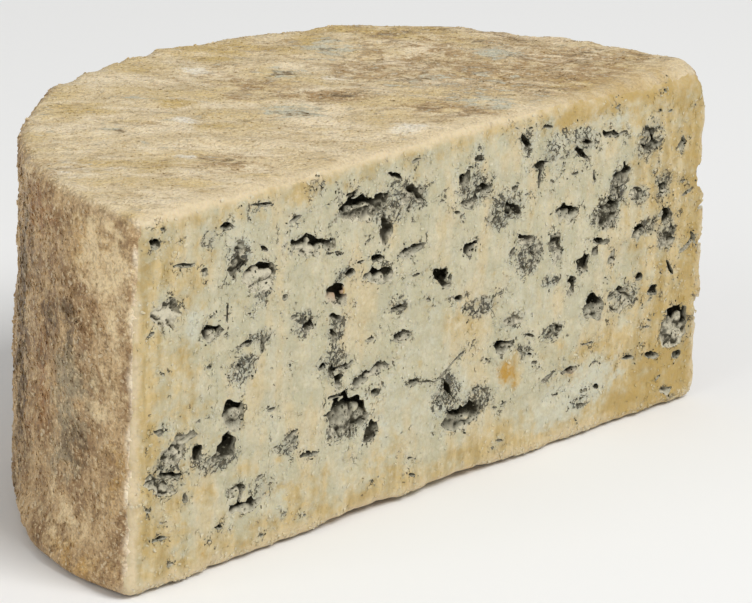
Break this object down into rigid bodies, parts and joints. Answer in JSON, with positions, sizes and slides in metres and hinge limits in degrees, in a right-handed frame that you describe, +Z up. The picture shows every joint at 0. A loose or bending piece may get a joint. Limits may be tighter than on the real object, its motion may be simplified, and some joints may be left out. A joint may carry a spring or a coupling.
{
  "type": "blue cheese wedge",
  "caption": "Half of a round blue-veined cheese, cut straight through, standing on its flat base with the cut face showing.",
  "frame": {"origin": "middle of the outline seen from above, on the surface that the cheese stands on", "axes": "+X along the cut, to the right when facing the cut face; -Y straight out of the cut face; +Z up"},
  "size_m": [0.2038, 0.1012, 0.0916],
  "materials": {
    "cheese": "moist ivory paste with blue-green veins on the cut, tan rind outside"
  },
  "bodies": {
    "root": {"blue_cheese_half": "cheese"}
  },
  "joints": []
}
